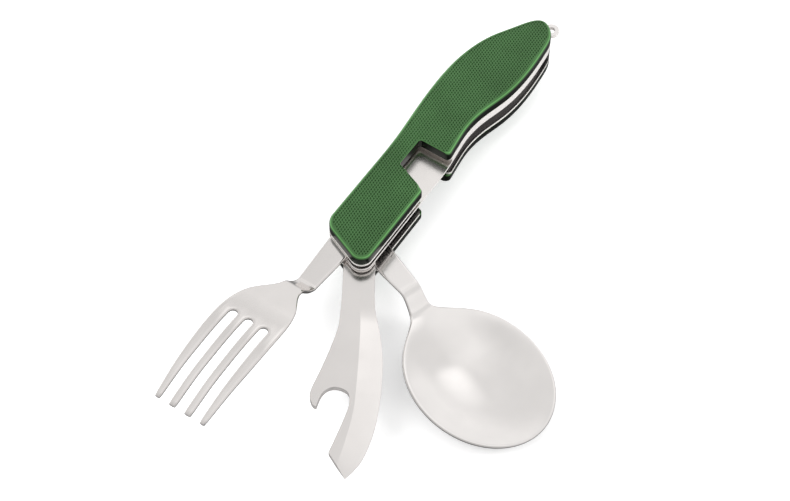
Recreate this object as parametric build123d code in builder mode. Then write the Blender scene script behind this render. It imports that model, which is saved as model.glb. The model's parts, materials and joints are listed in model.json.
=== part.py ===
"""Folding picnic cutlery: a fork, a knife with a bottle opener and a spoon on one pivot.

Frame, in millimetres: the origin is on the pivot's axis at the bottom scale's flat outer
face, +X runs along the handle to its tail, and +Z points up through the stack of plates.
Each tool is drawn straight out along -X in its own plane, which is turned about the pivot
to the angle at which the tool lies. The tools close into the handle from the -Y side.
"""
import os
from math import sqrt

from build123d import *

os.makedirs("parts", exist_ok=True)

# ---- the stack, from the bottom scale upwards ----
scale_t = 3.4            # aluminium grip scales
liner_t = 0.8            # outer steel liners
centre_t = 0.8           # plate between fork and knife
divider_t = 0.8          # plate between knife and spoon
sheet_t = 1.2            # fork and spoon sheet
knife_t = 2.0            # knife blade
play = 0.1               # free space on each side of a tool in its slot

bottom_liner_z = scale_t
spoon_slot_z = bottom_liner_z + liner_t
spoon_slot_t = sheet_t + 2 * play
divider_z = spoon_slot_z + spoon_slot_t
knife_slot_z = divider_z + divider_t
knife_slot_t = knife_t + 2 * play
centre_z = knife_slot_z + knife_slot_t
fork_slot_z = centre_z + centre_t
fork_slot_t = sheet_t + 2 * play
top_liner_z = fork_slot_z + fork_slot_t
top_scale_z = top_liner_z + liner_t
stack_t = top_scale_z + scale_t

# ---- handle outline ----
back_y = 7.2             # straight back edge beside the pivot
front_y = -11.4          # front edge beside the pivot
end_back_x = -8.1        # slanted lower end, where it meets the back edge
end_front_x = -16.0      # and where it meets the front edge
back_corner_r = 6.0
front_corner_r = 3.6
curve_start_x = 22.0     # the back edge is straight up to here
waist_start_x = 27.8     # the front edge starts to curve here
waist_start_y = -11.0
front_curve = [(38.5, -10.2), (46.4, -9.4), (54.5, -10.1), (64.0, -12.5), (76.0, -13.7),
               (88.0, -13.0), (95.0, -11.0)]
tail_tip = (98.0, -6.6)
back_curve = [(91.0, 0.2), (83.0, 4.8), (73.5, 7.9), (60.0, 9.2), (41.0, 8.2)]
edge_chamfer = 0.6       # round each scale's outer face
off_part = 80.0          # size of the blocks that cut plates away
divider_scale_x = 0.98   # the divider stays a little inside the outline
divider_scale_y = 0.95
set_back = 1.4           # divider and spoon spring stand back from the front edge

# ---- neck notch in scales, liners and divider, open to the front ----
notch_deep_y = 0.4
notch_low_x = 22.9       # lower wall, at the deep wall
notch_low_mouth_x = 18.2
notch_high_x = 34.3      # upper wall, at the deep wall
notch_high_mouth_x = 33.9
notch_mouth_r = 1.4
notch_deep_r = 0.9
notch_overrun = 6.0      # the notch's cut runs on past the front edge
liner_gap = 0.8          # the liners' notch is wider all round than the scales'

# ---- pivot, pins, screws and springs ----
pivot_r = 2.0
pivot_play = 0.05        # running clearance of each tool on the pin
tang_r = 5.0
washer_r = 4.2
washer_t = 0.08
pin_r = 0.7
pin_places = [(41.0, 6.6), (66.0, 6.3), (92.8, -6.0)]
screw_places = [(11.0, -6.5), (50.0, 0.0), (84.0, -5.0)]
screw_r = 0.9
screw_head_r = 1.8
screw_rim_t = 0.1        # straight rim of a countersunk head
screw_bite = 2.0         # how far a screw reaches into its scale
spring_edge_y = 5.35     # clears the tangs and the closed blade
spring_nose_x = -2.5
spring_body_x = 36.4     # the fork's and spoon's springs fill the handle beyond this
blade_room = [(58.0, spring_edge_y), (70.0, 3.6), (84.0, -1.5), (90.0, -6.0)]
ear_place = (98.9, -9.0)
ear_r = 2.5
ear_hole_r = 1.2

# ---- tools ----
fork_angle = -1.2        # degrees from straight out, as the tools lie
knife_angle = 32.0
spoon_angle = 69.9
clear = 0.5              # between a closed tool and the scale that it lies over

# the fork's and the spoon's shanks; lengths along a tool are radii from the pivot
shank_half = 4.4         # half width beside the tang
shank_taper_from = 9.0
tang_flare = 0.3         # the shank is this much wider at the pivot
neck_half = 3.3
bend_start = 26.8        # the spoon's flat shank ends here
neck_end = 31.8

# fork
fork_bend_start = 27.6   # its neck stands a little farther out than the spoon's
fork_neck_end = 32.6
neck_rise = 0.6          # the neck's end above the least height that clears the scale
head_profile = [(45.0, 22.2), (61.0, 24.6), (78.0, 22.9), (88.6, 20.0)]
head_start = 33.0
head_side = [(38.5, 4.6), (44.0, 8.3), (51.0, 10.1), (58.0, 10.5), (66.0, 10.4), (77.0, 9.8),
             (88.6, 8.9)]
fork_blank_half = 13.5   # half width of the bent sheet before it is cut to shape
tine_pitch = 5.5
slot_half = 1.4          # half width of the slots between the tines
slot_flare = 0.2         # each slot is this much wider on each side at the tips
slot_end = 55.7          # radius of the slots' round ends
slot_overrun = 2.0

# knife
blade_half = 4.5         # half width beside the tang
shoulder = 26.0          # its back runs straight to here
choil = (24.5, 5.3)
choil_half = 5.0
hook_curve = [(37.0, 5.2), (44.0, 7.0), (51.0, 9.3), (57.5, 11.7)]
hook_crown = [(62.4, 12.1), (64.6, 10.4)]
mouth_curve = [(60.2, 8.9), (57.9, 5.2), (60.0, 1.2), (66.0, 1.4), (73.0, 3.7), (79.8, 6.2)]
blade_tip = (88.0, 1.2)
belly_curve = [(81.0, 3.9), (72.4, 6.6), (62.0, 8.1), (50.0, 8.5), (40.5, 7.7), (31.0, 5.8)]
grind_y = 1.0            # the grind line, towards the cutting edge from the middle
grind_depth_y = 8.6      # there the grind has thinned the blade to edge_t
grind_start = 31.0       # radius of the plunge line
grind_overrun = 6.0
edge_t = 0.3

# spoon
neck_drop = 0.3          # the neck's end below the rim
neck_dip = 1.2           # and the same where the bowl starts
bowl_start = 35.0
flare_curve = [(30.5, 3.5), (33.0, 4.9), (36.0, 7.2)]
bowl_centre = 60.2
bowl_a = 26.2            # half length of the bowl's rim
bowl_b = 20.8            # half width of the bowl's rim
bowl_depth = 7.0
bowl_levels = (0, 0.25, 0.5, 0.72, 0.88, 0.97)

fork_plane = Plane.XY.rotated((0, 0, fork_angle))
knife_plane = Plane.XY.rotated((0, 0, knife_angle))
spoon_plane = Plane.XY.rotated((0, 0, spoon_angle))


def side_of(plane):
    """The upright plane through a tool's middle: x along the tool, y upwards."""
    return Plane(origin=(0, 0, 0), x_dir=plane.x_dir, z_dir=-plane.y_dir)


def whole_outline():
    """The handle's outline: straight by the pivot, then an S-curve to the tail."""
    with BuildSketch() as sketch:
        with BuildLine():
            lower = Polyline((curve_start_x, back_y), (end_back_x, back_y),
                             (end_front_x, front_y), (waist_start_x, waist_start_y))
            Spline(lower @ 1, *front_curve, tail_tip, *back_curve, lower @ 0,
                   tangents=((1, 0.01), (-1, 0)))
        make_face()
        fillet(sketch.vertices().sort_by_distance((end_back_x, back_y))[0], back_corner_r)
        fillet(sketch.vertices().sort_by_distance((end_front_x, front_y))[0], front_corner_r)
    return sketch.sketch


def notch_face(gap=0.0):
    """The notch that the necks pass through, wider by a gap all round."""
    mouth_y = front_y - notch_overrun
    run = (mouth_y - notch_deep_y) / (front_y - notch_deep_y)
    low_mouth = notch_low_x + run * (notch_low_mouth_x - notch_low_x)
    with BuildSketch() as sketch:
        with BuildLine():
            Polyline((low_mouth - gap, mouth_y),
                     (notch_low_x - gap, notch_deep_y + gap),
                     (notch_high_x + gap, notch_deep_y + gap),
                     (notch_high_mouth_x + gap, mouth_y), close=True)
        make_face()
    return sketch.sketch


def notched_outline(gap=0.0):
    """The handle's outline with the notch, its corners rounded."""
    with BuildSketch() as sketch:
        add(whole_outline())
        add(notch_face(gap), mode=Mode.SUBTRACT)
        deep = [sketch.vertices().sort_by_distance((x, notch_deep_y))[0]
                for x in (notch_low_x, notch_high_x)]
        fillet(deep, notch_deep_r)
        mouth = [sketch.vertices().sort_by_distance((x, front_y))[0]
                 for x in (notch_low_mouth_x, notch_high_mouth_x)]
        fillet(mouth, notch_mouth_r)
    return sketch.sketch


def drill_plate():
    """The pivot's and the pins' holes through a plate that is being built."""
    with BuildSketch(Plane.XY, mode=Mode.PRIVATE) as holes:
        Circle(pivot_r)
        with Locations(*pin_places):
            Circle(pin_r)
    extrude(holes.sketch, amount=stack_t, mode=Mode.SUBTRACT)


def screw_solids(face_z, direction):
    """Flat-head screws: the head flush with the liner's inner face, the shank outwards."""
    profile_x = [0, screw_head_r, screw_head_r, screw_r, screw_r, 0]
    head_t = screw_head_r - screw_r
    profile_z = [0, 0, screw_rim_t, screw_rim_t + head_t, liner_t + screw_bite,
                 liner_t + screw_bite]
    for x, y in screw_places:
        side = Plane(origin=(x, y, face_z), x_dir=(1, 0, 0), z_dir=(0, -direction, 0))
        with BuildSketch(side) as profile:
            with BuildLine():
                Polyline(*zip(profile_x, profile_z), close=True)
            make_face()
        revolve(profile.sketch, axis=Axis((x, y, face_z), (0, 0, 1)))


def washer_pair(slot_z, slot_t):
    """Two thin rings on the pivot, one on each side of a tool."""
    gap = (play - washer_t) / 2
    for z in (slot_z + gap, slot_z + slot_t - gap - washer_t):
        with BuildSketch(Plane.XY.offset(z)) as ring:
            Circle(washer_r)
            Circle(pivot_r, mode=Mode.SUBTRACT)
        extrude(ring.sketch, amount=washer_t)


def mirrored(points):
    """A list of (radius, y) points as places on both edges of a tool, root to end."""
    upper = [(-radius, y) for radius, y in points]
    return upper, [(x, -y) for x, y in reversed(upper)]


def shank_outline(end_points):
    """Tang, shank and neck of the fork and the spoon, seen from above."""
    upper, lower = mirrored([(0, shank_half + tang_flare), (shank_taper_from, shank_half),
                             (bend_start, neck_half), *end_points])
    with BuildSketch() as sketch:
        with BuildLine():
            Polyline(*upper, *lower, close=True)
        make_face()
        Circle(tang_r)
        Circle(pivot_r + pivot_play, mode=Mode.SUBTRACT)
    return sketch.sketch


# ---- scales ----
with BuildPart() as top_screws:
    screw_solids(top_liner_z, 1)
top_screws.part.label = "top_scale_screws"

with BuildPart() as bottom_screws:
    screw_solids(spoon_slot_z, -1)
bottom_screws.part.label = "bottom_scale_screws"

with BuildPart() as top_scale:
    with BuildSketch(Plane.XY.offset(top_scale_z)):
        add(notched_outline())
    extrude(amount=scale_t)
    chamfer(top_scale.faces().sort_by(Axis.Z)[-1].edges(), edge_chamfer)
    add(top_screws.part, mode=Mode.SUBTRACT)
top_scale.part.label = "top_scale"

with BuildPart() as bottom_scale:
    with BuildSketch():
        add(notched_outline())
    extrude(amount=scale_t)
    chamfer(bottom_scale.faces().sort_by(Axis.Z)[0].edges(), edge_chamfer)
    add(bottom_screws.part, mode=Mode.SUBTRACT)
bottom_scale.part.label = "bottom_scale"

# ---- steel plates ----
with BuildPart() as top_liner:
    with BuildSketch(Plane.XY.offset(top_liner_z)):
        add(notched_outline(liner_gap))
    extrude(amount=liner_t)
    drill_plate()
    add(top_screws.part, mode=Mode.SUBTRACT)
top_liner.part.label = "top_liner"

with BuildPart() as bottom_liner:
    with BuildSketch(Plane.XY.offset(bottom_liner_z)):
        add(notched_outline(liner_gap))
    extrude(amount=liner_t)
    drill_plate()
    add(bottom_screws.part, mode=Mode.SUBTRACT)
bottom_liner.part.label = "bottom_liner"

with BuildPart() as centre_plate:
    with BuildSketch(Plane.XY.offset(centre_z)):
        add(whole_outline())
    extrude(amount=centre_t)
    drill_plate()
centre_plate.part.label = "centre_plate"

with BuildPart() as divider_plate:
    with BuildSketch(Plane.XY.offset(divider_z)):
        add(scale(whole_outline(), by=(divider_scale_x, divider_scale_y, 1)))
        add(whole_outline().moved(Location((0, set_back, 0))), mode=Mode.INTERSECT)
    extrude(amount=divider_t)
    extrude(notch_face(), amount=stack_t, mode=Mode.SUBTRACT)
    drill_plate()
divider_plate.part.label = "divider_plate"

# ---- springs: an arm along the back holds each tool's tang, the body spaces the plates ----
with BuildPart() as fork_spring:
    with BuildSketch(Plane.XY.offset(fork_slot_z)):
        add(whole_outline())
        with Locations(ear_place):
            Circle(ear_r)
            Circle(ear_hole_r, mode=Mode.SUBTRACT)
        with Locations((spring_body_x, spring_edge_y)):
            Rectangle(off_part, off_part, align=(Align.MAX, Align.MAX), mode=Mode.SUBTRACT)
        with Locations((spring_nose_x, 0)):
            Rectangle(off_part, off_part, align=(Align.MAX, Align.CENTER), mode=Mode.SUBTRACT)
    extrude(amount=fork_slot_t)
    drill_plate()
fork_spring.part.label = "fork_spring"

with BuildPart() as knife_spring:
    with BuildSketch(Plane.XY.offset(knife_slot_z)):
        add(whole_outline())
        with BuildLine():
            Polyline((-off_part, spring_edge_y), *blade_room,
                     (blade_room[-1][0], -off_part), (-off_part, -off_part), close=True)
        make_face(mode=Mode.SUBTRACT)
        with Locations((spring_nose_x, 0)):
            Rectangle(off_part, off_part, align=(Align.MAX, Align.CENTER), mode=Mode.SUBTRACT)
    extrude(amount=knife_slot_t)
    drill_plate()
knife_spring.part.label = "knife_spring"

with BuildPart() as spoon_spring:
    with BuildSketch(Plane.XY.offset(spoon_slot_z)):
        add(whole_outline())
        add(whole_outline().moved(Location((0, set_back, 0))), mode=Mode.INTERSECT)
        with Locations((spring_body_x, spring_edge_y)):
            Rectangle(off_part, off_part, align=(Align.MAX, Align.MAX), mode=Mode.SUBTRACT)
        with Locations((spring_nose_x, 0)):
            Rectangle(off_part, off_part, align=(Align.MAX, Align.CENTER), mode=Mode.SUBTRACT)
    extrude(amount=spoon_slot_t)
    drill_plate()
spoon_spring.part.label = "spoon_spring"

# ---- pins and washers ----
with BuildPart() as pivot_pin:
    with BuildSketch(Plane.XY.offset(bottom_liner_z)):
        Circle(pivot_r)
    extrude(amount=top_scale_z - bottom_liner_z)
pivot_pin.part.label = "pivot_pin"

pins = []
for name, place in zip(("front_pin", "middle_pin", "tail_pin"), pin_places):
    with BuildPart() as pin:
        with BuildSketch(Plane.XY.offset(bottom_liner_z)):
            with Locations(place):
                Circle(pin_r)
        extrude(amount=top_scale_z - bottom_liner_z)
    pin.part.label = name
    pins.append(pin.part)

with BuildPart() as fork_washers:
    washer_pair(fork_slot_z, fork_slot_t)
fork_washers.part.label = "fork_washers"

with BuildPart() as knife_washers:
    washer_pair(knife_slot_z, knife_slot_t)
knife_washers.part.label = "knife_washers"

with BuildPart() as spoon_washers:
    washer_pair(spoon_slot_z, spoon_slot_t)
spoon_washers.part.label = "spoon_washers"

# ---- fork: a sheet bent up through the notch into an arched head ----
fork_z = fork_slot_z + play + sheet_t / 2
head_z = stack_t + clear + sheet_t / 2 + neck_rise
with BuildPart() as fork:
    with BuildSketch(side_of(fork_plane)):
        with BuildLine():
            shank = Line((tang_r + 1, fork_z), (-fork_bend_start, fork_z))
            rise = Spline(shank @ 1, (-fork_neck_end, head_z), tangents=((-1, 0), (-1, 1)))
            Spline(rise @ 1, *[(-radius, z) for radius, z in head_profile],
                   tangents=((-1, 1), (-1, -0.35)))
        trace(line_width=sheet_t)
    extrude(amount=fork_blank_half, both=True)
    with BuildSketch(fork_plane):
        add(shank_outline([(head_start + slot_overrun, neck_half)]))
        upper, lower = mirrored([(head_start, neck_half), *head_side])
        with BuildLine():
            Spline(*upper, tangents=((-1, 0.02), (-1, -0.05)))
            Spline(*lower, tangents=((1, -0.05), (1, 0.02)))
            Line(upper[-1], lower[0])
            Line(upper[0], lower[-1])
        make_face()
        slot_far = head_side[-1][0] + slot_overrun
        slot_wide = slot_half + slot_flare
        for row in (-1, 0, 1):
            with BuildLine(Plane((0, row * tine_pitch, 0))):
                Polyline((-slot_end, slot_half), (-slot_far, slot_wide),
                         (-slot_far, -slot_wide), (-slot_end, -slot_half), close=True)
            make_face(mode=Mode.SUBTRACT)
            with Locations((-slot_end, row * tine_pitch)):
                Circle(slot_half, mode=Mode.SUBTRACT)
    extrude(amount=2 * stack_t, mode=Mode.INTERSECT)
fork.part.label = "fork"

# ---- knife: flat blade, its back cut into a bottle opener's hook ----
with BuildPart() as knife:
    with BuildSketch(knife_plane.offset(knife_slot_z + play)):
        with BuildLine():
            back = Line((0, blade_half), (-shoulder, blade_half))
            hook = Spline(back @ 1, *[(-radius, y) for radius, y in hook_curve],
                          tangents=((-1, 0), (-1, 0.3)))
            crown = ThreePointArc(hook @ 1, *[(-radius, y) for radius, y in hook_crown])
            mouth = Spline(crown @ 1, *[(-radius, y) for radius, y in mouth_curve],
                           tangents=((1, -0.1), (-1, 0.35)))
            point = Line(mouth @ 1, (-blade_tip[0], blade_tip[1]))
            belly = Spline(point @ 1, *[(-radius, -y) for radius, y in belly_curve],
                           (-choil[0], -choil[1]), tangents=((0.6, -1), (1, 0.02)))
            heel = Line(belly @ 1, (0, -choil_half))
            Line(heel @ 1, back @ 0)
        make_face()
        Circle(tang_r)
        Circle(pivot_r + pivot_play, mode=Mode.SUBTRACT)
    extrude(amount=knife_t)
    slope = (knife_t - edge_t) / 2 / (grind_depth_y - grind_y)
    far_y = grind_depth_y + grind_overrun
    far_z = knife_t / 2 - slope * (far_y - grind_y)
    section = Plane(origin=knife_plane.offset(knife_slot_z + play + knife_t / 2)
                    .from_local_coords(Vector(-grind_start, 0, 0)),
                    x_dir=-knife_plane.y_dir, z_dir=-knife_plane.x_dir)
    for up in (1, -1):
        with BuildSketch(section):
            with BuildLine():
                Polyline((grind_y, up * knife_t / 2), (far_y, up * far_z),
                         (far_y, up * knife_t), (grind_y, up * knife_t), close=True)
            make_face()
        extrude(amount=blade_tip[0] - grind_start + grind_overrun, mode=Mode.SUBTRACT)
knife.part.label = "knife"

# ---- spoon: a sheet bent down through the notch into an oval bowl ----
spoon_z = spoon_slot_z + play + sheet_t / 2
rim_z = -clear
with BuildPart() as spoon:
    with BuildSketch(side_of(spoon_plane)):
        with BuildLine():
            shank = Line((tang_r + 1, spoon_z), (-bend_start, spoon_z))
            fall = Spline(shank @ 1, (-neck_end, rim_z - sheet_t / 2 - neck_drop),
                          tangents=((-1, 0), (-1, -0.35)))
            Line(fall @ 1, (-bowl_start, rim_z - sheet_t / 2 - neck_dip))
        trace(line_width=sheet_t)
    extrude(amount=flare_curve[-1][1], both=True)
    with BuildSketch(spoon_plane.offset(-stack_t)):
        add(shank_outline(flare_curve))
    extrude(amount=2 * stack_t, mode=Mode.INTERSECT)
    for depth, shell, mode in ((bowl_depth, 0, Mode.ADD),
                               (bowl_depth - sheet_t, sheet_t, Mode.SUBTRACT)):
        for level in bowl_levels:
            narrow = sqrt(1 - level ** 2)
            with BuildSketch(spoon_plane.offset(rim_z - level * depth)):
                with Locations((-bowl_centre, 0)):
                    Ellipse((bowl_a - shell) * narrow, (bowl_b - shell) * narrow)
        loft(mode=mode)
spoon.part.label = "spoon"

for piece in (top_scale.part, top_screws.part, top_liner.part, fork_spring.part,
              centre_plate.part, knife_spring.part, divider_plate.part, spoon_spring.part,
              bottom_liner.part, bottom_screws.part, bottom_scale.part, pivot_pin.part,
              *pins, fork_washers.part, knife_washers.part, spoon_washers.part,
              fork.part, knife.part, spoon.part):
    export_step(piece, f"parts/{piece.label}.step")
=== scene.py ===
"""The looks of the folding picnic cutlery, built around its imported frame.

Lengths in the builders below are millimetres, in the frame's own axes, and each mesh is
scaled to metres when it is made. A tool is built straight out along -X and then turned
about the pivot to the angle at which it lies.
"""

import json
from math import ceil, cos, pi, radians, sin

import bmesh
import bpy
import numpy as np
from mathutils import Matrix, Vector


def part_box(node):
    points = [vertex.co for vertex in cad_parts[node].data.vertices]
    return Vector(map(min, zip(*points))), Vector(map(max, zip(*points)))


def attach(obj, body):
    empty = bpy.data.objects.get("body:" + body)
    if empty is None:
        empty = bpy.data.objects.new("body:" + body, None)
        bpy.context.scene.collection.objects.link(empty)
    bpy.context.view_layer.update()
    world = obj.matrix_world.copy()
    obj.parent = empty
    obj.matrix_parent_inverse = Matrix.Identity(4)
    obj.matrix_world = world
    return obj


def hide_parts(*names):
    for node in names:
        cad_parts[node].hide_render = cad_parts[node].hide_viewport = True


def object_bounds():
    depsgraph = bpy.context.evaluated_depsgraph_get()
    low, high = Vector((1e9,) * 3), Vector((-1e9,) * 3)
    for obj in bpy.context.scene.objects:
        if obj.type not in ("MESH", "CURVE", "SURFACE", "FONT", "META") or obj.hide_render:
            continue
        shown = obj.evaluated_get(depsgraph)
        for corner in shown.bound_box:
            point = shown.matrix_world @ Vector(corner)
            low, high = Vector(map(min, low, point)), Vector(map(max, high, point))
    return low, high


MM = 0.001

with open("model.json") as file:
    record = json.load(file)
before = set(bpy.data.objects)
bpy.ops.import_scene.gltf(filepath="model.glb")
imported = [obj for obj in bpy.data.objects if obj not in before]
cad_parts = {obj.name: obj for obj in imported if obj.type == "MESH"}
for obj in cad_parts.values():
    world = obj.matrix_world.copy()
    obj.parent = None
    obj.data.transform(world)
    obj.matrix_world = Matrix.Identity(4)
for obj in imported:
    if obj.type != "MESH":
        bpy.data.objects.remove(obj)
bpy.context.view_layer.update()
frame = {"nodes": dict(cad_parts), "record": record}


# ---------------------------------------------------------------- small helpers
MERGE = 0.001            # vertices closer than this become one
EASE = 0.25              # share of an eased ramp's run that each end's bend takes


def mesh_object(name, verts, faces):
    """A mesh object from millimetre vertices and faces, linked to the scene."""
    mesh = bpy.data.meshes.new(name)
    mesh.from_pydata([(x * MM, y * MM, z * MM) for x, y, z in verts], [], faces)
    obj = bpy.data.objects.new(name, mesh)
    bpy.context.scene.collection.objects.link(obj)
    return obj


def tidy(obj):
    """Merges doubled vertices and turns all normals outwards."""
    bm = bmesh.new()
    bm.from_mesh(obj.data)
    bmesh.ops.remove_doubles(bm, verts=bm.verts, dist=MERGE * MM)
    bmesh.ops.dissolve_degenerate(bm, edges=bm.edges, dist=MERGE * MM)
    bmesh.ops.recalc_face_normals(bm, faces=bm.faces)
    bm.to_mesh(obj.data)
    bm.free()


def apply_modifiers(obj):
    """Replaces the object's mesh with its evaluated one and drops the modifiers."""
    graph = bpy.context.evaluated_depsgraph_get()
    mesh = bpy.data.meshes.new_from_object(obj.evaluated_get(graph))
    obj.modifiers.clear()
    old = obj.data
    obj.data = mesh
    bpy.data.meshes.remove(old)


def smooth(obj, angle):
    """Smooth shading with edges sharper than the angle kept crisp."""
    bm = bmesh.new()
    bm.from_mesh(obj.data)
    for face in bm.faces:
        face.smooth = True
    limit = radians(angle)
    for edge in bm.edges:
        edge.smooth = not (len(edge.link_faces) == 2 and edge.calc_face_angle(0) > limit)
    bm.to_mesh(obj.data)
    bm.free()


def boolean(obj, other, operation):
    """Applies an exact boolean with another object, and removes that object."""
    cut = obj.modifiers.new("cut", "BOOLEAN")
    cut.operation = operation
    cut.solver = "EXACT"
    cut.object = other
    apply_modifiers(obj)
    bpy.data.objects.remove(other)


def bevel(obj, width, segments, angle):
    """Rounds every edge sharper than the angle."""
    mod = obj.modifiers.new("bevel", "BEVEL")
    mod.width = width * MM
    mod.segments = segments
    mod.limit_method = "ANGLE"
    mod.angle_limit = radians(angle)
    mod.harden_normals = False
    apply_modifiers(obj)


def curve_through(points, steps):
    """Points along a smooth curve through the given ones (a Catmull-Rom spline)."""
    pts = [np.array(p, float) for p in points]
    pts = [2 * pts[0] - pts[1]] + pts + [2 * pts[-1] - pts[-2]]
    out = []
    for i in range(1, len(pts) - 2):
        p0, p1, p2, p3 = pts[i - 1:i + 3]
        for k in range(steps):
            t = k / steps
            a = 2 * p1 + (p2 - p0) * t + (2 * p0 - 5 * p1 + 4 * p2 - p3) * t ** 2
            out.append((a + (3 * p1 - p0 - 3 * p2 + p3) * t ** 3) / 2)
    out.append(pts[-2])
    return [tuple(p) for p in out]


def arc(r, a0, a1, steps):
    """Points on an arc about the pivot, angles in degrees."""
    angles = np.radians(np.linspace(a0, a1, steps + 1))
    return [(r * cos(a), r * sin(a)) for a in angles]


def smoothstep(lo, hi, x):
    """0 up to lo, 1 from hi on, and a smooth rise between them."""
    t = min(max((x - lo) / (hi - lo), 0), 1)
    return t * t * (3 - 2 * t)


def eased(lo, hi, x):
    """A straight ramp from 0 to 1 that eases in and out at its ends."""
    t = min(max((x - lo) / (hi - lo), 0), 1)
    bend = 2 * EASE * (1 - EASE)
    if t < EASE:
        return t * t / bend
    if t > 1 - EASE:
        return 1 - (1 - t) ** 2 / bend
    return (t - EASE / 2) / (1 - EASE)


def smootherstep(lo, hi, x):
    """The same as smoothstep, but its ends bend more gently."""
    t = min(max((x - lo) / (hi - lo), 0), 1)
    return t ** 3 * (10 - 15 * t + 6 * t * t)


def interp(x, table):
    """Smooth interpolation in a table of (x, value) pairs."""
    xs = [p[0] for p in table]
    ys = [p[1] for p in table]
    if x <= xs[0]:
        return ys[0]
    if x >= xs[-1]:
        return ys[-1]
    i = max(k for k in range(len(xs) - 1) if xs[k] <= x)

    def slope(k):
        k0, k1 = max(k - 1, 0), min(k + 1, len(xs) - 1)
        return (ys[k1] - ys[k0]) / (xs[k1] - xs[k0])

    h = xs[i + 1] - xs[i]
    t = (x - xs[i]) / h
    return ((1 + 2 * t) * (1 - t) ** 2 * ys[i] + t * (1 - t) ** 2 * h * slope(i)
            + t * t * (3 - 2 * t) * ys[i + 1] + t * t * (t - 1) * h * slope(i + 1))


# ---------------------------------------------------------------- materials
def new_material(name):
    """A material with its node tree's nodes, links and shader."""
    material = bpy.data.materials.new(name)
    material.use_nodes = True
    nodes, links = material.node_tree.nodes, material.node_tree.links
    return material, nodes, links, nodes["Principled BSDF"]


def node(nodes, kind, **values):
    """A new node; in_Name sets the input called Name, any other word a property."""
    made = nodes.new(kind)
    for key, value in values.items():
        if hasattr(made, key) and not key.startswith("in_"):
            setattr(made, key, value)
        else:
            made.inputs[key[3:].replace("_", " ")].default_value = value
    return made


def ramp(nodes, links, source, stops):
    """A colour ramp fed by a socket; a stop's colour is a grey number or a triple."""
    made = nodes.new("ShaderNodeValToRGB")
    elements = made.color_ramp.elements
    while len(elements) < len(stops):
        elements.new(0.5)
    for element, (place, colour) in zip(elements, stops):
        element.position = place
        element.color = (*colour, 1) if isinstance(colour, tuple) else (colour,) * 3 + (1,)
    links.new(source, made.inputs["Fac"])
    return made


SMUDGE = 0.06            # how much darker the smudges on the steel are


def steel(name, tone, rough, brush_scale, brush_depth, wear=0.3, edges=1.0):
    """Stainless steel with fine brush lines and soft smudges.

    The brush scale stretches the lines, wear roughens them, and edges below 1 leaves the
    upright cut edges less metallic, matt from the blanking.
    """
    material, nodes, links, shader = new_material(name)
    shader.inputs["Metallic"].default_value = 1.0
    shader.inputs["IOR"].default_value = 2.2
    place = nodes.new("ShaderNodeTexCoord")
    stretch = node(nodes, "ShaderNodeMapping")
    stretch.inputs["Scale"].default_value = brush_scale
    links.new(place.outputs["Object"], stretch.inputs["Vector"])
    lines = node(nodes, "ShaderNodeTexNoise", in_Scale=1.0, in_Detail=4.0, in_Roughness=0.6)
    links.new(stretch.outputs["Vector"], lines.inputs["Vector"])
    cloud = node(nodes, "ShaderNodeTexNoise", in_Scale=70.0, in_Detail=5.0, in_Roughness=0.55)
    links.new(place.outputs["Object"], cloud.inputs["Vector"])
    tint = ramp(nodes, links, cloud.outputs["Fac"],
                [(0.3, tuple(c * (1 - SMUDGE) for c in tone)), (0.7, tone)])
    links.new(tint.outputs["Color"], shader.inputs["Base Color"])
    gloss = ramp(nodes, links, cloud.outputs["Fac"], [(0.25, rough * 1.5), (0.65, rough)])
    grit = ramp(nodes, links, lines.outputs["Fac"], [(0.3, 0.0), (0.8, 0.07 * wear)])
    total = node(nodes, "ShaderNodeMath", operation="ADD")
    links.new(gloss.outputs["Color"], total.inputs[0])
    links.new(grit.outputs["Color"], total.inputs[1])
    links.new(total.outputs["Value"], shader.inputs["Roughness"])
    if edges < 1:
        split = nodes.new("ShaderNodeSeparateXYZ")
        links.new(place.outputs["Normal"], split.inputs[0])
        upright = node(nodes, "ShaderNodeMath", operation="ABSOLUTE")
        links.new(split.outputs["Z"], upright.inputs[0])
        matt = ramp(nodes, links, upright.outputs["Value"], [(0.3, edges), (0.7, 1.0)])
        links.new(matt.outputs["Color"], shader.inputs["Metallic"])
    bump = node(nodes, "ShaderNodeBump", in_Strength=0.35)
    bump.inputs["Distance"].default_value = brush_depth * MM
    links.new(lines.outputs["Fac"], bump.inputs["Height"])
    links.new(bump.outputs["Normal"], shader.inputs["Normal"])
    return material


# Painted light on the green, by how steeply the surface stands, 1 being level: painted shade
# turns the side walls near black, a painted highlight makes the rounded rims pale, and painted
# shade darkens the knurling's pits.
RIM_PAINTED_LIGHT = [(0.2, 0.02), (0.42, 0.3), (0.62, 0.42), (0.76, 1.0), (0.9, 0.42), (1.0, 0.35)]
RIM_HIGHLIGHT_LIFT = 2.7
# painted shade: the knurling's steep pit walls are darkened, the level ridge tops kept full
PIT_PAINTED_SHADE = [(0.15, 0.16), (0.75, 1.0)]


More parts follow.
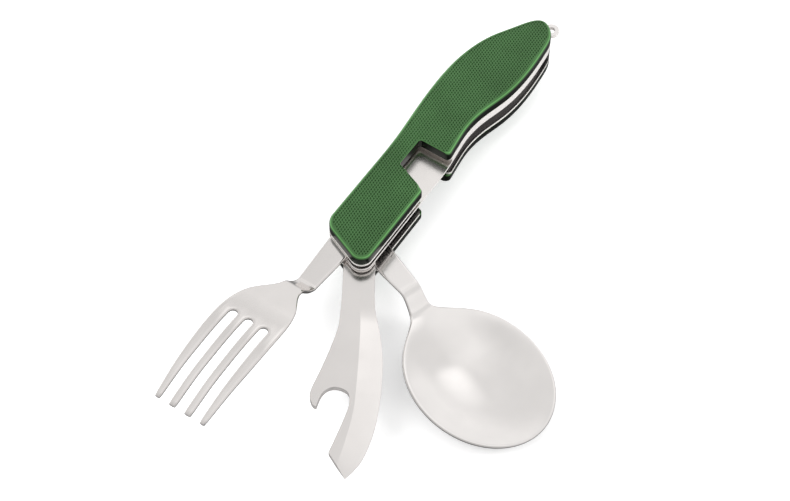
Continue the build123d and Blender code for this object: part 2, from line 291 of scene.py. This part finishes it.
def anodised(name, stops, painted_light_lift, film):
    """Green anodised aluminium: satin metal under a clear film, with painted shade and painted
    highlight in its colour by the surface's slope.
    """
    material, nodes, links, shader = new_material(name)
    shader.inputs["Metallic"].default_value = 0.95
    shader.inputs["Roughness"].default_value = 0.28
    shader.inputs["Coat Weight"].default_value = film
    shader.inputs["Coat Roughness"].default_value = 0.15
    place = nodes.new("ShaderNodeTexCoord")
    cloud = node(nodes, "ShaderNodeTexNoise", in_Scale=55.0, in_Detail=6.0, in_Roughness=0.6)
    links.new(place.outputs["Object"], cloud.inputs["Vector"])
    tone = ramp(nodes, links, cloud.outputs["Fac"],
                [(0.25, (0.056, 0.155, 0.045)), (0.6, (0.080, 0.216, 0.067)),
                 (0.85, (0.106, 0.270, 0.091))])
    split = nodes.new("ShaderNodeSeparateXYZ")
    links.new(place.outputs["Normal"], split.inputs[0])
    upright = node(nodes, "ShaderNodeMath", operation="ABSOLUTE")
    links.new(split.outputs["Z"], upright.inputs[0])
    # painted shade and painted highlight: the colour is scaled by how upright the surface stands
    slope_painted_light = ramp(nodes, links, upright.outputs["Value"], stops)
    painted_light_scaled = node(nodes, "ShaderNodeVectorMath", operation="SCALE")
    links.new(slope_painted_light.outputs["Color"], painted_light_scaled.inputs[0])
    painted_light_scaled.inputs["Scale"].default_value = painted_light_lift
    colour = node(nodes, "ShaderNodeMix", data_type="RGBA", blend_type="MULTIPLY")
    colour.inputs["Factor"].default_value = 1.0
    links.new(tone.outputs["Color"], colour.inputs["A"])
    links.new(painted_light_scaled.outputs["Vector"], colour.inputs["B"])
    links.new(colour.outputs["Result"], shader.inputs["Base Color"])
    grain = node(nodes, "ShaderNodeTexNoise", in_Scale=2600.0, in_Detail=3.0)
    links.new(place.outputs["Object"], grain.inputs["Vector"])
    bump = node(nodes, "ShaderNodeBump", in_Strength=0.25)
    bump.inputs["Distance"].default_value = 0.02 * MM
    links.new(grain.outputs["Fac"], bump.inputs["Height"])
    links.new(bump.outputs["Normal"], shader.inputs["Normal"])
    return material


def brass(name):
    """Dull brass, its gloss and colour clouded together."""
    material, nodes, links, shader = new_material(name)
    shader.inputs["Metallic"].default_value = 1.0
    place = nodes.new("ShaderNodeTexCoord")
    cloud = node(nodes, "ShaderNodeTexNoise", in_Scale=300.0, in_Detail=4.0)
    links.new(place.outputs["Object"], cloud.inputs["Vector"])
    tint = ramp(nodes, links, cloud.outputs["Fac"],
                [(0.3, (0.55, 0.38, 0.13)), (0.7, (0.74, 0.55, 0.24))])
    links.new(tint.outputs["Color"], shader.inputs["Base Color"])
    gloss = ramp(nodes, links, cloud.outputs["Fac"], [(0.3, 0.42), (0.7, 0.25)])
    links.new(gloss.outputs["Color"], shader.inputs["Roughness"])
    return material


TONE = (0.80, 0.768, 0.748)      # a warm grey, shared by the fork and the knife
polished = steel("polished_steel", TONE, 0.1, (60, 900, 900), 0.002)
satin = steel("satin_steel", (0.88, 0.85, 0.83), 0.14, (60, 900, 900), 0.0005)
bladed = steel("blade_steel", TONE, 0.12, (2200, 90, 400), 0.006, wear=0.8, edges=0.5)
plate = steel("plate_steel", (0.86, 0.825, 0.80), 0.2, (90, 900, 900), 0.0003, edges=0.12)
sprung = steel("spring_steel", (0.84, 0.81, 0.79), 0.2, (90, 900, 900), 0.0003, edges=0.12)
# near-black steel: painted shade for the parts that sit in the stack's dark gaps
shade_steel = steel("painted_shade_steel", (0.045, 0.042, 0.042), 0.3, (90, 1600, 1600), 0.006)
turned = steel("pin_steel", (0.74, 0.73, 0.72), 0.2, (900, 900, 1500), 0.01, wear=1.2)
# painted light on both greens: shaded side walls, highlighted rims, shaded knurl pits
green = anodised("green_aluminium", RIM_PAINTED_LIGHT, RIM_HIGHLIGHT_LIFT, 0.5)
knurled = anodised("green_knurling", PIT_PAINTED_SHADE, 1.0, 0.6)
foil = brass("washer_brass")


# ---------------------------------------------------------------- scales
FLAT_WITHIN = 0.002      # a vertex this close to a height lies at it
OUTLINE_STEP = 0.35
KNURL_PITCH = 1.0
KNURL_ANGLE = radians(60)
KNURL_DEPTH = 0.30
KNURL_SLAB = 1.2         # thickness of the slab that carries the knurling
KNURL_MARGIN = 1         # the uncut slab reaches this far past the outline
PIT_RINGS = ((0.70, 0.05), (0.22, KNURL_DEPTH))   # share of the cell's size, depth
RIM_R = 1.15
RIM_R_NOTCH = 0.2        # the rim is crisper inside the notch
RIM_STEPS = 6
RIM_FLAT = 0.04          # level land between the rounding and the pocket
UNDERCUT = 0.06          # bevel beside the liner
POCKET_STEP = 0.06       # the pocket's wall leans in by this much
POCKET_UNDER = 0.05      # its floor lies this far below the pits
FIELD_GAP = 0.04         # from the land to the knurled field's edge
FIELD_BELOW = 0.9        # the field is cut off this far below the scale's face
FIELD_ABOVE = 0.5        # and the cutter reaches this far above it
NOTCH_X = (14, 38)       # the notch lies between these places along the handle
NOTCH_DEEP_Y = 3         # and in front of this one
NOTCH_MOUTH_Y = -9.2     # here the rim changes to its radius in the notch,
NOTCH_BLEND = 0.9        # over this distance either way


def outline_of(name, level):
    """The longest boundary loop of a CAD node's flat face at a height, in millimetres."""
    obj = frame["nodes"][name]
    co = [tuple(round(c / MM, 4) for c in v.co) for v in obj.data.vertices]
    count = {}
    for poly in obj.data.polygons:
        ring = [co[i] for i in poly.vertices]
        if all(abs(p[2] - level) < FLAT_WITHIN for p in ring):
            for a, b in zip(ring, ring[1:] + ring[:1]):
                a, b = a[:2], b[:2]
                if a != b:
                    count[(a, b)] = count.get((a, b), 0) + 1
    follow = {a: b for (a, b) in count if (b, a) not in count}
    loops = []
    while follow:
        start, here = follow.popitem()
        loop = [start]
        while here != start and here in follow:
            loop.append(here)
            here = follow.pop(here)
        loops.append(loop)
    return max(loops, key=len)


def resample(loop, step):
    """The closed loop with evenly spaced points, counter-clockwise."""
    pts = np.array(loop + loop[:1])
    x, y = pts[:, 0], pts[:, 1]
    if np.sum(x[:-1] * y[1:] - x[1:] * y[:-1]) < 0:
        pts = pts[::-1]
    length = np.concatenate([[0], np.cumsum(np.hypot(*np.diff(pts, axis=0).T))])
    n = int(ceil(length[-1] / step))
    at = np.linspace(0, length[-1], n, endpoint=False)
    return np.c_[np.interp(at, length, pts[:, 0]), np.interp(at, length, pts[:, 1])]


def inward(loop):
    """Unit normals pointing into a counter-clockwise loop."""
    along = np.roll(loop, -2, 0) - np.roll(loop, 2, 0)
    along /= np.hypot(*along.T)[:, None]
    return np.c_[-along[:, 1], along[:, 0]]


def knurl_block(x0, x1, y0, y1, top):
    """A slab whose upper face is a lattice of ridges with a pit in each mesh of it."""
    rise = sin(KNURL_ANGLE) * KNURL_PITCH
    rows = int(ceil((y1 - y0) / rise))
    shift = KNURL_PITCH * cos(KNURL_ANGLE)
    cols = int(ceil((x1 - x0 + rows * shift) / KNURL_PITCH))
    verts, faces = [], []

    def corner(i, j):
        return (x0 - rows * shift + i * KNURL_PITCH + j * shift, y0 + j * rise)

    for j in range(rows + 1):
        for i in range(cols + 1):
            verts.append((*corner(i, j), top))
    wide = cols + 1
    for j in range(rows):
        for i in range(cols):
            ring = [j * wide + i, j * wide + i + 1, (j + 1) * wide + i + 1, (j + 1) * wide + i]
            mid = np.mean([verts[k][:2] for k in ring], axis=0)
            base = len(verts)
            for keep, drop in PIT_RINGS:
                for k in ring:
                    x, y = mid + (np.array(verts[k][:2]) - mid) * keep
                    verts.append((x, y, top - drop))
            for lower, upper in ((ring, range(base, base + 4)),
                                 (range(base, base + 4), range(base + 4, base + 8))):
                lower, upper = list(lower), list(upper)
                for k in range(4):
                    m = (k + 1) % 4
                    faces.append((lower[k], lower[m], upper[m], upper[k]))
            faces.append(tuple(range(base + 4, base + 8)))
    edge = ([i for i in range(wide)] + [j * wide + cols for j in range(1, rows + 1)]
            + [rows * wide + i for i in range(cols - 1, -1, -1)]
            + [j * wide for j in range(rows - 1, 0, -1)])
    floor = len(verts)
    verts += [(verts[k][0], verts[k][1], top - KNURL_SLAB) for k in edge]
    n = len(edge)
    for k in range(n):
        m = (k + 1) % n
        faces.append((edge[m], edge[k], floor + k, floor + m))
    faces.append(tuple(range(floor + n - 1, floor - 1, -1)))
    return verts, faces


def prism(name, loop, z0, z1):
    """A closed upright prism over a loop."""
    n = len(loop)
    verts = [(x, y, z0) for x, y in loop] + [(x, y, z1) for x, y in loop]
    faces = [tuple(range(n - 1, -1, -1)), tuple(range(n, 2 * n))]
    faces += [(k, (k + 1) % n, n + (k + 1) % n, n + k) for k in range(n)]
    return mesh_object(name, verts, faces)


def build_scale(name, node_name, flip):
    """A grip scale: rounded rim, a shallow pocket in it, and the knurled field in that."""
    low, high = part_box(node_name)
    inner_z, outer_z = (high.z / MM, low.z / MM) if flip else (low.z / MM, high.z / MM)
    loop = resample(outline_of(node_name, inner_z), OUTLINE_STEP)
    into = inward(loop)
    thick = abs(outer_z - inner_z)
    sign = -1 if flip else 1
    rim = []
    for x, y in loop:
        in_notch = 0
        if NOTCH_X[0] < x < NOTCH_X[1] and y < NOTCH_DEEP_Y:
            in_notch = smoothstep(NOTCH_MOUTH_Y - NOTCH_BLEND, NOTCH_MOUTH_Y + NOTCH_BLEND, y)
        rim.append(RIM_R + (RIM_R_NOTCH - RIM_R) * in_notch)
    rim = np.array(rim)

    def ring(offset, z):
        place = loop + into * np.asarray(offset)[:, None]
        heights = np.broadcast_to(z, len(loop))
        return [(x, y, inner_z + sign * h) for (x, y), h in zip(place, heights)]

    rings = [ring(0 * rim + UNDERCUT, 0), ring(0 * rim, UNDERCUT), ring(0 * rim, thick - rim)]
    for k in range(1, RIM_STEPS + 1):
        a = k / RIM_STEPS * pi / 2
        rings.append(ring(rim * (1 - cos(a)), thick - rim * (1 - sin(a))))
    rings.append(ring(rim + RIM_FLAT, thick))
    pocket = thick - KNURL_DEPTH - POCKET_UNDER
    rings.append(ring(rim + RIM_FLAT + POCKET_STEP, pocket))
    n = len(loop)
    verts = [v for one in rings for v in one]
    faces = [tuple(range(n - 1, -1, -1)), tuple(range((len(rings) - 1) * n, len(rings) * n))]
    for r in range(len(rings) - 1):
        for k in range(n):
            m = (k + 1) % n
            faces.append((r * n + k, r * n + m, (r + 1) * n + m, (r + 1) * n + k))
    body = mesh_object(name, verts, faces)
    tidy(body)
    smooth(body, angle=40)
    x_low, y_low = loop.min(0) - KNURL_MARGIN
    x_high, y_high = loop.max(0) + KNURL_MARGIN
    verts, faces = knurl_block(x_low, x_high, y_low, y_high, thick)
    field = mesh_object(name + "_knurl", [(x, y, inner_z + sign * z) for x, y, z in verts], faces)
    tidy(field)
    edge = loop + into * (rim + RIM_FLAT + FIELD_GAP)[:, None]
    cutter = prism("cutter", edge, inner_z + sign * (thick - FIELD_BELOW),
                   inner_z + sign * (thick + FIELD_ABOVE))
    tidy(cutter)
    boolean(field, cutter, "INTERSECT")
    for obj, material in ((body, green), (field, knurled)):
        obj.data.materials.clear()
        obj.data.materials.append(material)
        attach(obj, "handle")
    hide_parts(node_name)


build_scale("top_grip", "top_scale", False)
build_scale("bottom_grip", "bottom_scale", True)

# ---------------------------------------------------------------- fork and spoon
SHEET = 1.2
ROLL = 0.5               # the rounded edge reaches this far past the grid
ROLL_STEPS = 6
ROLL_POWER = 0.8         # below 1, the rounding is a little fuller than a half circle
TANG_R = 5.0
TANG_HOLE_R = 2.05
BORE_SIDES = 40
TANG_TURNS = (8, 22, 38, 55, 72, 90)      # rows round the tang's end, degrees
SHANK = [(0, 4.7), (9.0, 4.4), (26.8, 3.3)]      # radius, half width
SHANK_ROWS = [2.5, 6, 9, 13, 17, 21, 24]
FORK_ANGLE = -1.2
KNIFE_ANGLE = 32.0
SPOON_ANGLE = 69.9


def rolled_sheet(name, grid, holes=frozenset()):
    """A sheet of even thickness with rounded edges, from its middle surface.

    The grid is rows of points, root to tip; cells named in holes, as (row, column), are left
    out. The border grows outwards by ROLL as the edge is rounded.
    """
    rows, cols = len(grid), len(grid[0])
    bm = bmesh.new()
    mid = [[bm.verts.new(p) for p in row] for row in grid]
    for r in range(rows - 1):
        for c in range(cols - 1):
            if (r, c) not in holes:
                bm.faces.new((mid[r][c], mid[r + 1][c], mid[r + 1][c + 1], mid[r][c + 1]))
    bmesh.ops.delete(bm, geom=[v for v in bm.verts if not v.link_faces], context="VERTS")
    bm.normal_update()
    out = {v: Vector() for v in bm.verts}
    border = []
    for face in bm.faces:
        for loop in face.loops:
            if len(loop.edge.link_faces) == 1:
                a, b = loop.vert, loop.link_loop_next.vert
                side = (b.co - a.co).cross(face.normal).normalized()
                out[a] += side
                out[b] += side
                border.append((a, b))
    half = SHEET / 2
    verts, index = [], {}
    for v in bm.verts:
        steps = range(ROLL_STEPS + 1) if out[v].length else (0, ROLL_STEPS)
        for k in steps:
            a = pi * k / ROLL_STEPS
            at = v.co + v.normal * half * cos(a)
            if out[v].length:
                at = at + out[v].normalized() * ROLL * max(sin(a), 0) ** ROLL_POWER
            index[v, k] = len(verts)
            verts.append(at)
    faces = []
    for face in bm.faces:
        ring = list(face.verts)
        faces.append([index[v, 0] for v in ring])
        faces.append([index[v, ROLL_STEPS] for v in reversed(ring)])
    for a, b in border:
        for k in range(ROLL_STEPS):
            faces.append([index[b, k], index[a, k], index[a, k + 1], index[b, k + 1]])
    bm.free()
    obj = mesh_object(name, verts, faces)
    tidy(obj)
    return obj


def tang_rows():
    """(place along the tool, half width) of the rows of the tang's round end."""
    r = TANG_R - ROLL
    turns = [radians(a) for a in TANG_TURNS]
    return [(-r * cos(a), r * sin(a)) for a in turns]


def finish_tool(obj, node_name, angle, material):
    """Bores the pivot's hole, turns the tool to its angle and hangs it on its body."""
    low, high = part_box(node_name)
    bore = prism("bore", arc(TANG_HOLE_R, 0, 360, BORE_SIDES)[:-1],
                 low.z / MM - 1, high.z / MM + 1)
    tidy(bore)
    boolean(obj, bore, "DIFFERENCE")
    obj.rotation_euler.z = radians(angle)
    obj.data.materials.clear()
    obj.data.materials.append(material)
    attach(obj, node_name)
    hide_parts(node_name)


# fork, measured outwards from the pivot
TINE_PITCH = 5.5
SLOT_HALF = 1.4
SLOT_FLARE = 0.2         # a slot's extra half width at the tips
SLOT_END = 55.7          # the slots' round ends
TIP = 88.6
TINE_CELLS = 3           # columns of the grid across a tine
SLOT_CELLS = 6           # and across a slot
LANES = 7                # four tines and three slots
# (radius, half width) from the shank's end outwards
HEAD = [(26.8, 3.3), (33, 3.35), (36, 3.8), (38.5, 4.9), (41, 6.5), (44, 8.2), (47.5, 9.4),
        (52, 10.2), (58, 10.5), (66, 10.4), (77, 9.8), (TIP, 8.9)]
FORK_NECK = (27.0, 34.8)
FORK_NECK_ROWS = [25.5, *np.arange(26.2, 36.0, 0.4)]
FORK_HEAD_ROWS = np.arange(36.2, 53.2, 1.0)
SLOT_LEAD = 1.3          # the row this far before the slots' ends already bows a little
TINE_LEAD = 1.2          # and the first row of the tines lies this far beyond them
TINE_ROWS = 26
# (radius, height) of the middle surface, once the neck has risen
HEAD_PROFILE = [(30, 14.6), (34, 16.6), (38, 18.5), (42, 20.3), (47, 22.3), (54, 24.1),
                (61, 24.6), (70, 24.0), (78, 22.9), (TIP, 20.0)]
fork_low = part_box("fork")[0].z / MM + SHEET / 2


def fork_height(s):
    """Height of the sheet's middle: level shank, steep neck, arched head."""
    rise = eased(*FORK_NECK, s)
    return fork_low + (interp(s, HEAD_PROFILE) - fork_low) * rise


def fork_half(s):
    """Half width of the grid at a radius."""
    return (interp(s, SHANK) if s < SHANK[-1][0] else interp(s, HEAD)) - ROLL


def fork_row(s, half, curve=0.0):
    """One row of points across the fork: four tines, and three slots that may bow out."""
    at_slots = max(s, SLOT_END)
    slot = SLOT_HALF + ROLL + SLOT_FLARE * (at_slots - SLOT_END) / (TIP - SLOT_END)
    edge = half if s >= SLOT_END else fork_half(SLOT_END)
    bounds = [-edge]
    for centre in (-TINE_PITCH, 0, TINE_PITCH):
        bounds += [centre - slot, centre + slot]
    bounds.append(edge)
    row = []
    for lane in range(LANES):
        cells = SLOT_CELLS if lane % 2 else TINE_CELLS
        for k in range(cells if lane < LANES - 1 else cells + 1):
            t = (1 - cos(pi * k / cells)) / 2 if lane % 2 else k / cells
            y = bounds[lane] + (bounds[lane + 1] - bounds[lane]) * t
            here = s
            if lane % 2:
                here = s - curve * slot * sin(pi * k / cells)
            row.append((-here, y * half / edge, fork_height(here)))
    return row


def build_fork():
    """The fork: a rolled sheet whose slots are left out of the grid."""
    rows = [fork_row(s, half) for s, half in tang_rows()]
    for s in [*SHANK_ROWS, *FORK_NECK_ROWS, *FORK_HEAD_ROWS]:
        rows.append(fork_row(s, fork_half(s)))
    rows.append(fork_row(SLOT_END - SLOT_LEAD, fork_half(SLOT_END - SLOT_LEAD), curve=0.5))
    first_slot = len(rows)
    rows.append(fork_row(SLOT_END, fork_half(SLOT_END), curve=1.0))
    for s in np.linspace(SLOT_END + TINE_LEAD, TIP - ROLL, TINE_ROWS):
        rows.append(fork_row(s, fork_half(s)))
    slots, col = [], 0
    for lane in range(LANES):
        cells = SLOT_CELLS if lane % 2 else TINE_CELLS
        if lane % 2:
            slots += range(col, col + cells)
        col += cells
    holes = {(r, c) for r in range(first_slot, len(rows)) for c in slots}
    obj = rolled_sheet("fork_sheet", rows, holes)
    finish_tool(obj, "fork", FORK_ANGLE, polished)
    smooth(obj, angle=60)


# spoon, measured outwards from the pivot
BOWL_S = 60.2            # the middle of the bowl's oval
BOWL_A = 26.2 - ROLL
BOWL_B = 20.8 - ROLL
BOWL_END = BOWL_S + BOWL_A
RIM_Z = -1.1
SPOON_NECK = (24.6, 33.0)
SPOON_NECK_ROWS = np.arange(25.2, 44.0, 0.6)
BOWL_DEPTH = 5.7
BOWL_START = (27.0, 53.0)    # the dish fades in over this stretch
BOWL_POWER = 1.2             # above 1, the dish is flatter beside its rim
DEEPEST = 56.0
BOWL_ROWS = 48
BOWL_FROM = 44.2             # here the rows start to follow the oval
BOWL_TURN = 87.5             # and they stop this many degrees round from its widest place
CROWDING = (29, 36)          # the columns move out towards the edges over this stretch
# (radius, half width) from the shank's end to the bowl
FLARE = [(26.8, 3.3), (29, 3.4), (31, 3.8), (33, 5.0), (35, 7.2), (38, 10.9), (41, 14.0),
         (44, 16.3)]
SPOON_COLS = 30
spoon_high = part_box("spoon")[1].z / MM - SHEET / 2


def bowl_depth(s):
    """Depth of the dish's middle line below the rim."""
    along = min(abs(s - DEEPEST) / (BOWL_END - DEEPEST), 1)
    return BOWL_DEPTH * (1 - along * along) * smoothstep(*BOWL_START, s)


def spoon_row(s, half):
    """One row of points across the spoon, dished where the bowl is."""
    row = []
    mix = smoothstep(*CROWDING, s)
    neck_z = spoon_high + (RIM_Z - spoon_high) * smootherstep(*SPOON_NECK, s)
    for k in range(SPOON_COLS + 1):
        even = 2 * k / SPOON_COLS - 1
        v = (1 - mix) * even + mix * sin(pi / 2 * even)
        z = neck_z - bowl_depth(s) * (1 - v * v) ** BOWL_POWER
        row.append((-s, v * half, z))
    return row


def build_spoon():
    """The spoon: a rolled sheet, its rows straight to the bowl and then along the oval."""
    rows = [spoon_row(s, half) for s, half in tang_rows()]
    for s in [*SHANK_ROWS, *SPOON_NECK_ROWS]:
        table = SHANK if s < SHANK[-1][0] else FLARE
        rows.append(spoon_row(s, interp(s, table) - ROLL))
    first = np.arcsin((BOWL_FROM - BOWL_S) / BOWL_A)
    for a in np.linspace(first, radians(BOWL_TURN), BOWL_ROWS):
        rows.append(spoon_row(BOWL_S + BOWL_A * sin(a), BOWL_B * cos(a)))
    obj = rolled_sheet("spoon_sheet", rows)
    finish_tool(obj, "spoon", SPOON_ANGLE, satin)
    smooth(obj, angle=60)


# ---------------------------------------------------------------- knife
# (radius, height above the middle line) along the back, the opener, the belly and the grind
HOOK = [(26, 4.5), (31, 4.7), (37, 5.2), (44, 7.0), (51, 9.3), (57.5, 11.7)]
CROWN = [(59.3, 12.25), (61.2, 12.45), (63.0, 12.0), (64.2, 11.3), (64.6, 10.4)]
MOUTH = [(62.7, 9.9), (60.2, 8.9), (58.5, 7.3), (57.9, 5.2), (58.5, 2.9), (60.0, 1.2), (63, 0.9),
         (66, 1.4), (73, 3.7), (79.8, 6.2)]
TIP_PLACE = (88.0, 1.2)
BELLY = [(29.0, -5.6), (31, -5.8), (40.5, -7.7), (50, -8.5), (62, -8.1), (72.4, -6.6),
         (81, -3.9), (85.5, -1.1), TIP_PLACE]
GRIND = [(29.0, -1.1), (35, -1.4), (41.5, -1.45), (55, -1.1), (66, -0.4), (75.7, 1.5), (84, 3.64)]
CHOIL = (24.5, -5.3)
EDGE_HALF = 0.12
PLUNGE = (29.0, 36.0)    # the grind deepens over this stretch
GRIND_STEPS = 60
TANG_ARC = (116, -90)    # degrees
TANG_STEPS = 20
BLADE_BEVEL = 0.1
FACET = 5.5              # small enough to keep the grind line crisp, degrees


def sample(curve, n):
    """n + 1 points along a dense polyline, evenly spaced."""
    pts = np.array(curve)
    length = np.concatenate([[0], np.cumsum(np.hypot(*np.diff(pts, axis=0).T))])
    at = np.linspace(0, length[-1], n + 1)
    return list(zip(np.interp(at, length, pts[:, 0]), np.interp(at, length, pts[:, 1])))


def build_knife():
    """The knife: flat sides, and facets ground from the grind line to the belly."""
    low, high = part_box("knife")
    middle, half = (low.z + high.z) / 2 / MM, (high.z - low.z) / 2 / MM
    back = curve_through(HOOK, 8)[:-1] + curve_through([HOOK[-1]] + CROWN, 6)[:-1]
    back += curve_through([CROWN[-1]] + MOUTH, 8)
    grind = sample(curve_through(GRIND, 12), GRIND_STEPS)
    belly = sample(curve_through(BELLY, 12), GRIND_STEPS)
    tang = [(-x, y) for x, y in arc(TANG_R, *TANG_ARC, TANG_STEPS)]
    flat = tang + [CHOIL, belly[0]] + grind + back[::-1]
    verts, faces = [], []

    def layer(points, z):
        first = len(verts)
        verts.extend((-s, y, middle + z) for s, y in points)
        return list(range(first, len(verts)))

    heights = []
    for s, _ in belly:
        ground = smoothstep(*PLUNGE, s)
        heights.append(half + (EDGE_HALF - half) * ground)
    sides = []
    for sign in (1, -1):
        rim = layer(flat, sign * half)
        faces.append(rim if sign > 0 else rim[::-1])
        start = len(tang) + 2
        upper = rim[start:start + GRIND_STEPS + 1]
        edge = [rim[start - 1]]
        for (s, y), z in list(zip(belly, heights))[1:]:
            edge += layer([(s, y)], sign * z)
        for k in range(GRIND_STEPS):
            faces.append([upper[k], edge[k], edge[k + 1], upper[k + 1]])
        # round the outside: tang, belly's edge, and then from the grind line along the back
        around = rim[:start - 1] + edge + rim[start + GRIND_STEPS:]
        sides.append(around)
    top, bottom = sides
    n = len(top)
    for k in range(n):
        m = (k + 1) % n
        faces.append([top[k], top[m], bottom[m], bottom[k]])
    obj = mesh_object("knife_blade", verts, faces)
    tidy(obj)
    bevel(obj, BLADE_BEVEL, segments=2, angle=45)
    finish_tool(obj, "knife", KNIFE_ANGLE, bladed)
    smooth(obj, angle=FACET)


build_fork()
build_spoon()
build_knife()

# ---------------------------------------------------------------- carried-over CAD nodes
looks = {"plate_steel": plate, "spring_steel": sprung, "pin_steel": turned,
         "washer_brass": foil, "polished_steel": polished, "blade_steel": bladed,
         "green_aluminium": green}
shade_painted_parts = ("knife_spring", "spoon_spring", "divider_plate")     # painted shade: set near black for the shadowed gaps in the stack
# the inner springs and the divider get the near-black steel as painted shade
for part in frame["record"]["subparts"]:
    obj = frame["nodes"][part["node"]]
    for place in obj.material_slots:
        place.material = shade_steel if part["node"] in shade_painted_parts else looks[part["material_slot"]]

# ---------------------------------------------------------------- floor, light and camera
FLOOR_HALF = 3.0         # metres
FLOOR_GAP = 0.0002       # below the object's lowest point
scene = bpy.context.scene
scene.view_settings.view_transform = "Standard"
low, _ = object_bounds()
floor_mesh = bpy.data.meshes.new("floor")
floor_corners = [(x * FLOOR_HALF, y * FLOOR_HALF, 0)
                 for x, y in ((-1, -1), (1, -1), (1, 1), (-1, 1))]
floor_mesh.from_pydata(floor_corners, [], [(0, 1, 2, 3)])
floor = bpy.data.objects.new("floor", floor_mesh)
floor.location.z = low[2] - FLOOR_GAP
scene.collection.objects.link(floor)
pale, nodes, links, shader = new_material("pale_floor")
shader.inputs["Base Color"].default_value = (0.93, 0.93, 0.93, 1)
shader.inputs["Roughness"].default_value = 0.6
shader.inputs["Emission Color"].default_value = (1, 1, 1, 1)
shader.inputs["Emission Strength"].default_value = 0.3
floor_mesh.materials.append(pale)
floor.visible_glossy = False     # the steel mirrors the sky's dark lower half instead

GLOW_AT = (9.0, 49.0)    # heading and height of the soft lamp seen in the tools, degrees
GLOW_SIZE = (6.0, 19.0)  # full within the first angle, gone beyond the second
GLOW = 0.36
world = bpy.data.worlds.new("studio")
scene.world = world
world.use_nodes = True
sky = world.node_tree
back = sky.nodes["Background"]
direction = sky.nodes.new("ShaderNodeTexCoord")
split = sky.nodes.new("ShaderNodeSeparateXYZ")
sky.links.new(direction.outputs["Generated"], split.inputs[0])


def sky_ramp(axis, stops):
    """A ramp over the sky from one end of an axis to the other."""
    place = sky.nodes.new("ShaderNodeMapRange")
    place.inputs["From Min"].default_value = -1.0
    sky.links.new(split.outputs[axis], place.inputs["Value"])
    return ramp(sky.nodes, sky.links, place.outputs["Result"], stops)


by_height = sky_ramp("Z", [(0.0, 0.10), (0.13, 0.12), (0.28, 0.6), (0.40, 0.92), (0.60, 0.95),
                           (0.70, 1.0), (0.80, 0.83), (0.93, 0.83), (1.0, 1.0)])
by_side = sky_ramp("X", [(0.1, 0.62), (0.42, 1.0)])      # a little dimmer towards -X
shade = node(sky.nodes, "ShaderNodeMix", data_type="RGBA", blend_type="MULTIPLY")
shade.inputs["Factor"].default_value = 1.0
sky.links.new(by_height.outputs["Color"], shade.inputs["A"])
sky.links.new(by_side.outputs["Color"], shade.inputs["B"])
glow = sky.nodes.new("ShaderNodeVectorMath")
glow.operation = "DOT_PRODUCT"
glow.inputs[1].default_value = (cos(radians(GLOW_AT[0])) * cos(radians(GLOW_AT[1])),
                                sin(radians(GLOW_AT[0])) * cos(radians(GLOW_AT[1])),
                                sin(radians(GLOW_AT[1])))
sky.links.new(direction.outputs["Generated"], glow.inputs[0])
lamp = ramp(sky.nodes, sky.links, glow.outputs["Value"],
            [(cos(radians(GLOW_SIZE[1])), 0.0), (cos(radians(GLOW_SIZE[0])), GLOW)])
both = node(sky.nodes, "ShaderNodeMix", data_type="RGBA", blend_type="ADD")
both.inputs["Factor"].default_value = 1.0
sky.links.new(shade.outputs["Result"], both.inputs["A"])
sky.links.new(lamp.outputs["Color"], both.inputs["B"])
sky.links.new(both.outputs["Result"], back.inputs["Color"])
back.inputs["Strength"].default_value = 1.0


def softbox(name, place, aim, size, power):
    """A square area light in metres and watts, not seen in reflections."""
    light = bpy.data.lights.new(name, "AREA")
    light.size = size
    light.energy = power
    obj = bpy.data.objects.new(name, light)
    obj.location = place
    obj.rotation_euler = (Vector(aim) - Vector(place)).to_track_quat("-Z", "Y").to_euler()
    obj.visible_glossy = False
    scene.collection.objects.link(obj)


# The camera looks down at the open tools, the handle running away to the upper right.
LOOK_AT = Vector((-1.2, -13.75, 7.7)) * MM
HEADING = 33.5
ELEVATION = 55.0
DISTANCE = 0.650
LENS = 96.9
heading, up = radians(HEADING), radians(ELEVATION)
toward = Vector((cos(heading) * cos(up), sin(heading) * cos(up), -sin(up)))
camera_data = bpy.data.cameras.new("camera")
camera_data.lens = LENS
camera_data.sensor_width = 36.0
camera = bpy.data.objects.new("camera", camera_data)
camera.location = LOOK_AT - toward * DISTANCE
camera.rotation_euler = toward.to_track_quat("-Z", "Y").to_euler()
scene.collection.objects.link(camera)
scene.camera = camera
right = Vector((sin(heading), -cos(heading), 0))
ahead = Vector((cos(heading), sin(heading), 0))
skyward = Vector((0, 0, 1))
softbox("key", LOOK_AT - right * 0.55 - ahead * 0.35 + skyward * 0.9, LOOK_AT, 0.6, 5)
softbox("edge", LOOK_AT + right * 0.8 + ahead * 0.05 + skyward * 0.38, LOOK_AT, 0.35, 4)
